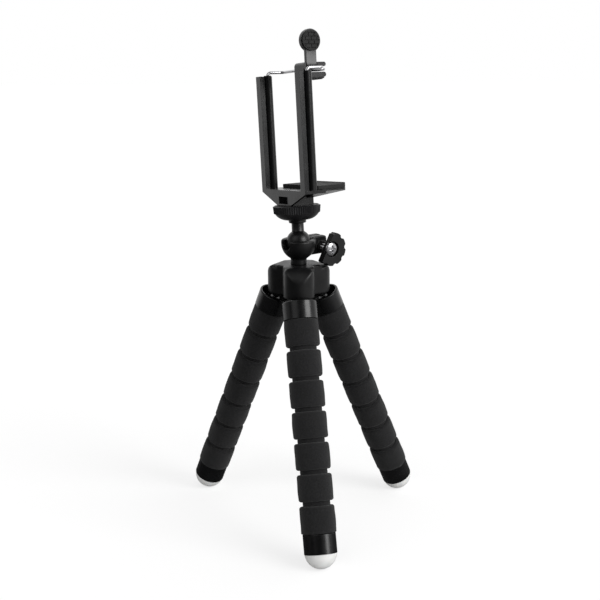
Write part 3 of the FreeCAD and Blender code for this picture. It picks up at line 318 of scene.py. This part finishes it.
def in_frame(node, matrix):
    """A node's vertices in millimetres in a local frame."""
    vertices = frame["nodes"][node].data.vertices
    flat = np.empty(len(vertices) * 3)
    vertices.foreach_get("co", flat)
    turn = np.array(matrix)
    return (flat.reshape(-1, 3) - turn[:3, 3]) @ turn[:3, :3] / MM


def swept_grid(rows, columns, wrap_rows, wrap_columns):
    """Quads over a grid of rows by columns, joined round where it wraps."""
    last_row = rows if wrap_rows else rows - 1
    last_column = columns if wrap_columns else columns - 1
    i, j = np.meshgrid(np.arange(last_row), np.arange(last_column), indexing="ij")
    down, across = (i + 1) % rows, (j + 1) % columns
    corners = [i * columns + j, i * columns + across, down * columns + across, down * columns + j]
    return np.stack(corners, -1).reshape(-1, 4).tolist()


def round_angles(steps):
    """Even angles once round."""
    return np.linspace(0, 2 * math.pi, steps, endpoint=False)


def turned(reach, height, angle):
    """Points round Z in rows: each row has its reach and its height, at every angle or for all of them."""
    x, y = reach * np.cos(angle), reach * np.sin(angle)
    return np.stack([x, y, np.broadcast_to(height, x.shape)], -1).reshape(-1, 3)


def arc(centre, radius, start, end, steps):
    """Points on an arc in the profile's plane, angles in degrees."""
    angle = np.radians(np.linspace(start, end, steps + 1))
    return np.stack([centre[0] + radius * np.cos(angle), centre[1] + radius * np.sin(angle)], 1)


def rising(value, start, over):
    """From 0 at the start to 1 where the value is that much over it."""
    return np.clip((value - start) / over, 0, 1)


def falling(value, end, over):
    """From 1 where the value is that much before the end to 0 at the end."""
    return np.clip((end - value) / over, 0, 1)


# Foam beads and cores, in millimetres

FOAM_R, NECK_R, BORE_R, CUP_GAP = 9.0, 7.1, 2.56, 0.3
NECK_FLARE, LINK_GAP = 0.5, 0.05
GROOVE_HALF, NECK_DEPTH, CUP_DEPTH = 1.1, 1.6, 3.55
SHOULDER, CROWN, TOP_ROUND, END_ROUND = 1.25, 0.12, 0.8, 0.3
# the first bead's top, from the bend under the hub, and the last bead's end, from the lowest groove
FIRST_TOP, LAST_END = -11.0, -14.8
# how far the skived surface waves, and how far outside the neck and over what radius the wave sets in
WAVE, WAVE_FROM, WAVE_OVER = 0.05, 0.4, 1.2
BEAD_TURNS, LINK_TURNS = 96, 32


def groove_hinges(side):
    """The joints at a leg's grooves, from the hub down."""
    return [joints["curl_%d_%s" % (k, side)] for k in range(1, BEADS)]


def leg_axes(side):
    """A leg's own frame: origin at its bend, +Z back up the leg, +Y along the groove hinges."""
    hinges = groove_hinges(side)
    up = (Vector(hinges[0]["pos_m"]) - Vector(hinges[-1]["pos_m"])).normalized()
    return axes_at(joints["sway_" + side]["pos_m"], up, Vector(hinges[0]["axis"]).cross(up))


def groove_depths(side):
    """How far down the leg each groove lies, in millimetres."""
    bend = Vector(joints["sway_" + side]["pos_m"])
    return [(Vector(hinge["pos_m"]) - bend).length / MM for hinge in groove_hinges(side)]


def bead_profile(top, bottom, has_cup, groove_below):
    """The outline of one foam bead from its bore round the outside and back: a round neck under it (the last
    one ends flat), soft shoulders, a slightly crowned flank and the cup that holds the bead above."""
    if groove_below is None:
        low_round, low_steps = END_ROUND, 2
        parts = [[[BORE_R, bottom], [FOAM_R - END_ROUND, bottom]]]
    else:
        low_round, low_steps = SHOULDER, 6
        low = math.degrees(math.asin(NECK_DEPTH / NECK_R))
        high = math.degrees(math.asin(GROOVE_HALF / NECK_R))
        # the bore widens down the neck, so that the core can bend there
        flared_bore = [[BORE_R + NECK_FLARE, groove_below - NECK_DEPTH]]
        parts = [flared_bore, arc((0, groove_below), NECK_R, -low, high, 6)]
    parts.append(arc((FOAM_R - low_round, bottom + low_round), low_round, -90, 0, low_steps))
    top_round = SHOULDER if has_cup else TOP_ROUND
    rise = np.linspace(0, 1, 9)[1:-1]
    low_edge = bottom + low_round
    span = top - top_round - low_edge
    parts.append(np.stack([FOAM_R + CROWN * np.sin(math.pi * rise), low_edge + span * rise], 1))
    parts.append(arc((FOAM_R - top_round, top - top_round), top_round, 0, 90, 6))
    cup_r, cup_end = NECK_R + CUP_GAP, top + GROOVE_HALF - CUP_DEPTH
    parts.append([[cup_r, top], [cup_r, cup_end], [BORE_R, cup_end]] if has_cup else [[BORE_R, top]])
    return np.concatenate(parts)


def foam_bead(side, k, depths, matrix):
    """A bead turned about the leg. Its radius waves by a few hundredths of a millimetre, as skived sponge
    does: the sum of three sines of the turn and of the height, with phases set by the bead's number."""
    top = FIRST_TOP if k == 1 else -depths[k - 2] - GROOVE_HALF
    groove = None if k == BEADS else -depths[k - 1]
    bottom = LAST_END - depths[-1] if groove is None else groove + GROOVE_HALF
    outline = bead_profile(top, bottom, k > 1, groove)
    radius, height = outline[:, :1], outline[:, 1:]
    angle = round_angles(BEAD_TURNS)
    phase = 1.7 * k + 5.1 * SIDES.index(side)
    wave = np.sin(3 * angle + phase) * np.sin(height * 0.55 + phase)
    wave = wave + 0.7 * np.sin(5 * angle - 2 * phase + height * 0.4) + 0.5 * np.sin(2 * angle + 0.9 * height)
    reach = radius + WAVE * wave * rising(radius, NECK_R + WAVE_FROM, WAVE_OVER)
    quads = swept_grid(len(outline), BEAD_TURNS, True, True)
    points = turned(reach, height, angle)
    bead = closed_piece("foam_sleeve_%d_%s" % (k, side), points, quads, matrix, "foam")
    node = "foam_%d_%s" % (k, side)
    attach(bead, body_of[node])
    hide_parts(node)


def core_links(side, depths, matrix):
    """The bendable core as one link for each bead: a rod whose upper end is a half ball round the bend, which
    turns just under the flat end of the link above while the leg curls. The first link has a flat top and
    stands for the CAD core."""
    held = in_frame("core_" + side, matrix)
    ends = [held[:, 2].max()] + [-depth for depth in depths] + [held[:, 2].min()]
    thick = np.hypot(held[:, 0], held[:, 1]).max()
    for k in range(1, BEADS + 1):
        top, bottom = ends[k - 1], ends[k]
        upper_end = [[0, top], [thick, top]] if k == 1 else arc((0, top), thick, 90, 0, 8)
        flat_end = bottom if k == BEADS else bottom + thick + LINK_GAP
        outline = np.concatenate([upper_end, [[thick, flat_end], [0, flat_end]]])
        points = turned(outline[:, :1], outline[:, 1:], round_angles(LINK_TURNS))
        quads = swept_grid(len(outline), LINK_TURNS, False, True)
        link = closed_piece("core_link_%d_%s" % (k, side), points, quads, matrix, "core")
        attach(link, "leg_%d_%s" % (k, side))
        if k == 1:
            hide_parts("core_" + side)


for side in SIDES:
    own_axes, depths = leg_axes(side), groove_depths(side)
    for k in range(1, BEADS + 1):
        foam_bead(side, k, depths, own_axes)
    core_links(side, depths, own_axes)


# Clamp screw, grip pad and springs, in millimetres

clamp = axes_at(joints["knob_turn"]["pos_m"], joints["knob_turn"]["axis"], joints["ball_lean"]["axis"])
across_clip = Vector(joints["arm_fold"]["axis"]).cross(Vector(joints["jaw_slide"]["axis"]))


def cross_bar(across, along):
    """How far one bar of the screw's cross is sunk, from 0 to 1, with sloping sides and ends."""
    half_wide, half_long = 0.55, 2.1
    return falling(np.abs(across), half_wide, 0.15) * falling(np.abs(along), half_long, 0.3)


def clamp_screw():
    """A turned screw: the shank's radius dips by a triangle wave of height less turn, which makes a thread of
    0.7 mm pitch, and the domed head is sunk by 1 mm inside a cross of two bars."""
    shank, pitch, thread, head = 2.0, 0.7, 0.22, 3.8
    inner, seat, turns = -5.6, 11.9, 80
    flank, dome_low, dome_rise, cross = 0.35, 0.45, 1.35, 1.0
    height = np.linspace(inner, seat, 210)
    angle = round_angles(turns)
    saw = np.abs(((height[:, None] / pitch - angle / (2 * math.pi)) % 1) - 0.5) * 2
    # the thread runs out under the head, and the shank's end is drawn in
    reach = shank - thread * saw * falling(height, seat - 0.6, 0.8)[:, None]
    reach[0] = reach[0] * 0.6
    rim = np.array([[shank, seat], [head, seat], [head, seat + flank]])
    dome_t = np.linspace(1, 0, 26)
    dome_z = seat + dome_low + dome_rise * np.sqrt(1 - (dome_t * 0.995) ** 2)
    plain = np.concatenate([rim[:, 0], head * dome_t])
    radius = np.concatenate([np.zeros((1, turns)), reach, np.repeat(plain[:, None], turns, 1)])
    level = np.concatenate([[inner], height, rim[:, 1], dome_z])[:, None]
    x, y = radius * np.cos(angle), radius * np.sin(angle)
    on_dome = (np.arange(len(radius)) > len(height) + len(rim))[:, None]
    level = level - cross * np.maximum(cross_bar(x, y), cross_bar(y, x)) * on_dome
    quads = swept_grid(len(radius), turns, False, True)
    screw = closed_piece("threaded_clamp_screw", turned(radius, level, angle), quads, clamp, "bright_metal")
    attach(screw, "knob")
    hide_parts("clamp_screw")


def grip_face():
    """The round rubber pad of the fold-out arm. A square grid is pressed into a disc, and narrow grooves
    0.35 mm deep part its face into staggered bricks."""
    low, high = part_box("grip_pad")
    matrix = axes_at((low + high) / 2, across_clip, joints["arm_fold"]["axis"])
    side, radius, half = 121, (high.z - low.z) / 2 / MM, 0.4
    course, brick, joint = 1.9, 3.4, 0.16
    sunk, slope, plain_rim = 0.35, 0.08, 0.7
    edge_drop, edge_wide = 0.2, 0.25
    u, v = np.meshgrid(np.linspace(-1, 1, side), np.linspace(-1, 1, side), indexing="ij")
    x, y = radius * u * np.sqrt(1 - v * v / 2), radius * v * np.sqrt(1 - u * u / 2)
    outward = np.hypot(x, y)
    # X of the pad's frame is the clip's depth, so courses are counted up Y
    to_course = np.abs((y / course) % 1 - 0.5) * course
    to_end = np.abs((x / brick + 0.5 * (np.floor(y / course) % 2)) % 1 - 0.5) * brick
    gap = np.minimum(course / 2 - to_course, brick / 2 - to_end)
    groove = falling(gap, joint + slope, slope) * falling(outward, radius - plain_rim, 0.1)
    edge = edge_drop * rising(outward, radius - edge_wide, edge_wide) ** 2
    front = np.stack([x, y, half - sunk * groove - edge], -1).reshape(-1, 3)
    back = np.stack([x, y, np.full_like(x, -half)], -1).reshape(-1, 3)
    quads = np.array(swept_grid(side, side, False, False))
    index = np.arange(side * side).reshape(side, side)
    ring = np.concatenate([index[:-1, 0], index[-1, :-1], index[:0:-1, -1], index[0, :0:-1]])
    after = np.roll(ring, -1)
    wall = np.stack([ring, after, after + side * side, ring + side * side], 1)
    faces = np.concatenate([quads, quads[:, ::-1] + side * side, wall]).tolist()
    face = closed_piece("brick_grip_face", np.concatenate([front, back]), faces, matrix, "pad")
    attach(face, "arm")
    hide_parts("grip_pad")


def coil_spring(number, middle, low, high, matrix):
    """One of the clip's two springs: a round wire carried along a helix of 24 turns, with closed ends where
    the pitch falls to nothing."""
    coil_r, wire_r, turns, steps, around = 1.33, 0.26, 24, 20, 8
    closed_end = 0.04
    t = np.linspace(0, 1, turns * steps + 1)
    low, high = low + wire_r, high - wire_r
    turn = 2 * math.pi * turns * t
    rise = low + (high - low) * rising(t, closed_end, 1 - 2 * closed_end)
    angle = round_angles(around)
    reach = coil_r + wire_r * np.cos(angle)
    x, y = middle[0] + np.cos(turn)[:, None] * reach, middle[1] + np.sin(turn)[:, None] * reach
    rings = np.stack([x, y, rise[:, None] + wire_r * np.sin(angle)], -1)
    points = np.concatenate([rings.reshape(-1, 3), [rings[0].mean(0)], [rings[-1].mean(0)]])
    first, last = np.arange(around)[::-1], np.arange(around) + turns * steps * around
    near = np.stack([first, np.roll(first, -1), np.full(around, len(points) - 2)], 1)
    far = np.stack([last, np.roll(last, -1), np.full(around, len(points) - 1)], 1)
    faces = swept_grid(len(t), around, False, True) + near.tolist() + far.tolist()
    coil = closed_piece("coil_spring_%d" % number, points, faces, matrix, "bright_metal")
    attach(coil, body_of["clip_springs"])
    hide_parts("clip_springs")
    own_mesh(coil)


def coil_springs():
    """Both springs, where the CAD springs stand, anchored at their lower ends, which the jaw carries."""
    clip = axes_at((0, 0, 0), joints["jaw_slide"]["axis"], across_clip)
    held = in_frame("clip_springs", clip)
    split = (held[:, 0].min() + held[:, 0].max()) / 2
    for number, one in enumerate((held[held[:, 0] < split], held[held[:, 0] > split])):
        least, most = one.min(0), one.max(0)
        middle = (least + most) / 2
        coil_spring(number, middle, least[2], most[2], clip)


clamp_screw()
grip_face()
coil_springs()


# Every other solid: a merged copy with its edges broken as the mould or the cutter breaks them

# widths in millimetres, with one for all the legs' collars; a piece that has none keeps its edges
EDGE_BREAK = {
    "clip_frame": 0.2, "clamp_knob": 0.35, "upper_jaw": 0.2,
    "lower_jaw_pad": 0.25, "grip_arm": 0.2, "platform_disc": 0.12, "ball_stem": 0.15,
}
COLLAR_BREAK = 0.18
# faces that meet at less than this many degrees are flat together
FLAT = 0.5
OWN_FINISH = {"platform_disc": knurl_with_painted_sheen()}
# pieces whose corners the mould leaves round: the size of the remeshed faces and the passes of smoothing
SOFT_CORNERS = {"hub_body": (0.42, 9), "ball_socket": (0.3, 7)}


def modify(piece, name, kind, **settings):
    """Adds a modifier with its settings."""
    modifier = piece.modifiers.new(name, kind)
    for key, value in settings.items():
        setattr(modifier, key, value)


def broken_edges(node):
    """A copy of a solid with its doubles merged and smooth faces. Its sharp edges get a small rounding, or
    all its corners are softened where the mould leaves them round."""
    mesh = frame["nodes"][node].data.copy()
    work = bmesh.new()
    work.from_mesh(mesh)
    merge_points(work, CAD_MERGE)
    bmesh.ops.dissolve_limit(work, angle_limit=math.radians(FLAT), verts=work.verts, edges=work.edges)
    smooth_but_sharp(work, CAD_CRISP)
    work.to_mesh(mesh)
    work.free()
    piece = show("finished_" + node, mesh, slot_of[node], OWN_FINISH.get(node))
    width = EDGE_BREAK.get(node, COLLAR_BREAK if node.startswith(("top_", "bottom_")) else 0)
    if node in SOFT_CORNERS:
        face, passes = SOFT_CORNERS[node]
        modify(piece, "EvenFaces", "REMESH", mode="VOXEL", voxel_size=face * MM, use_smooth_shade=True)
        modify(piece, "RoundCorners", "SMOOTH", factor=0.5, iterations=passes)
    elif width:
        modify(piece, "EdgeBreak", "BEVEL", width=width * MM, segments=2, limit_method="ANGLE",
               angle_limit=math.radians(CAD_CRISP), harden_normals=True)
    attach(piece, body_of[node])
    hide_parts(node)


shown = [n for n in slot_of if not frame["nodes"][n].hide_render]
for node in shown:
    broken_edges(node)


# Floor, lights and camera

FLOOR_HALF = 6
# glow of the paper that the camera sees, and the greys of its diffuse part there and for bounced light
GLOW, SEEN_GREY, BOUNCE_GREY = 0.665, 0.42, 0.55
# panels in the sky's reflections: the axis, where the edge starts and ends on it, and the strength
PANELS = (("X", 0.0, 0.85, 0.6), ("X", -0.88, -1.0, 0.35), ("Y", 0.1, 0.7, 1.0), ("Z", 0.55, 0.95, 0.22))
BETWEEN_PANELS = 0.03


def grey(level):
    """A linear grey with full alpha."""
    return (level, level, level, 1)


def kinds_of_ray(tree):
    """Outputs that tell the kinds of ray apart, and a number that is 1 where the camera looks straight on."""
    rays = add_node(tree, "ShaderNodeLightPath").outputs
    return rays, greater(tree, rays["Is Camera Ray"], rays["Is Transmission Ray"])


def white_sheet():
    """Paper under the object: white to the camera, with the object's shadow on it. In reflections it is dim
    near the object and brighter far to the right and the back."""
    material = bpy.data.materials.new("paper_sweep")
    tree = empty_tree(material)
    rays, seen = kinds_of_ray(tree)
    glow = add_node(tree, "ShaderNodeEmission", {"Color": WHITE, "Strength": GLOW})
    paper = add_node(tree, "ShaderNodeBsdfDiffuse", {"Color": grey(SEEN_GREY)})
    bright = add_node(tree, "ShaderNodeAddShader", links={0: glow.outputs[0], 1: paper.outputs[0]})
    plain = add_node(tree, "ShaderNodeBsdfDiffuse", {"Color": grey(BOUNCE_GREY)})
    place = add_node(tree, "ShaderNodeTexCoord").outputs["Object"]
    parts = add_node(tree, "ShaderNodeSeparateXYZ", links={"Vector": place}).outputs
    far_right = between(tree, parts["X"], 0.0, 0.8, 0.05, 0.5)
    far_back = between(tree, parts["Y"], 0.05, 0.6, 0.05, 0.9)
    strength = greater(tree, far_right, far_back)
    mirrored = add_node(tree, "ShaderNodeEmission", {"Color": WHITE}, {"Strength": strength})
    glossy = {0: rays["Is Glossy Ray"], 1: plain.outputs[0], 2: mirrored.outputs[0]}
    others = add_node(tree, "ShaderNodeMixShader", links=glossy)
    straight = {0: seen, 1: others.outputs[0], 2: bright.outputs[0]}
    mixed = add_node(tree, "ShaderNodeMixShader", links=straight)
    add_node(tree, "ShaderNodeOutputMaterial", links={"Surface": mixed.outputs[0]})
    return material


def floor():
    """The sheet that the object stands on, wide enough to fill every view."""
    half = FLOOR_HALF
    corners = [(-half, -half, 0), (half, -half, 0), (half, half, 0), (-half, half, 0)]
    mesh = bpy.data.meshes.new("floor")
    mesh.from_pydata(corners, [], [(0, 1, 2, 3)])
    mesh.materials.append(white_sheet())
    sheet = bpy.data.objects.new("floor", mesh)
    bpy.context.scene.collection.objects.link(sheet)


def sky():
    """White where it is seen. In reflections it is bright behind the object, dimmer to the right, at the far
    left and overhead, and dark in front, as in a booth. Its light is soft and stronger from the right."""
    world = bpy.data.worlds.new("studio")
    bpy.context.scene.world = world
    tree = empty_tree(world)
    rays, seen = kinds_of_ray(tree)
    toward = add_node(tree, "ShaderNodeTexCoord").outputs["Generated"]
    parts = add_node(tree, "ShaderNodeSeparateXYZ", links={"Vector": toward}).outputs
    mirrored = None
    for axis, start, end, most in PANELS:
        panel = between(tree, parts[axis], start, end, BETWEEN_PANELS, most, "SMOOTHSTEP")
        mirrored = panel if mirrored is None else greater(tree, mirrored, panel)
    even = between(tree, parts["X"], -0.8, 0.9, 0.3, 0.85)
    glossy = {"Factor": rays["Is Glossy Ray"], "A": even, "B": mirrored}
    lit = add_node(tree, "ShaderNodeMix", {"data_type": "FLOAT"}, glossy)
    straight = {"Factor": seen, "A": lit.outputs[0]}
    strength = add_node(tree, "ShaderNodeMix", {"data_type": "FLOAT", "B": 1.0}, straight)
    back = add_node(tree, "ShaderNodeBackground", {"Color": WHITE}, {"Strength": strength.outputs[0]})
    add_node(tree, "ShaderNodeOutputWorld", links={"Surface": back.outputs[0]})


def soft_sun(name, towards, strength, degrees):
    """A far lamp as wide as a soft box, shining from a direction."""
    lamp = bpy.data.lights.new(name, "SUN")
    lamp.energy = strength
    lamp.angle = math.radians(degrees)
    thing = bpy.data.objects.new(name, lamp)
    thing.rotation_euler = Vector(towards).to_track_quat("Z", "Y").to_euler()
    bpy.context.scene.collection.objects.link(thing)


def camera():
    """The photograph's view: 1018 pixels of focal length, 533 mm in front, 260 mm up, looking down 14.3
    degrees and rolled by half a degree."""
    focal_pixels, picture_pixels, sensor = 1018.2, 600, 36
    place, down, roll = (0.000538, -0.5329, 0.25967), 0.24932, -0.0081
    lens = bpy.data.cameras.new("photo_view")
    lens.sensor_fit = "HORIZONTAL"
    lens.sensor_width = sensor
    lens.lens = focal_pixels / picture_pixels * sensor
    lens.clip_start = 0.01
    lens.dof.use_dof = False
    thing = bpy.data.objects.new("photo_view", lens)
    tilt = Matrix.Rotation(math.pi / 2 - down, 4, "X")
    thing.matrix_world = Matrix.Translation(place) @ tilt @ Matrix.Rotation(roll, 4, "Z")
    bpy.context.scene.collection.objects.link(thing)
    bpy.context.scene.camera = thing


floor()
sky()
soft_sun("key", (0.85, -0.5, 0.5), 1.5, 35)
soft_sun("fill", (-0.6, -0.6, 0.7), 0.35, 50)
camera()
bpy.context.scene.view_settings.view_transform = "Standard"
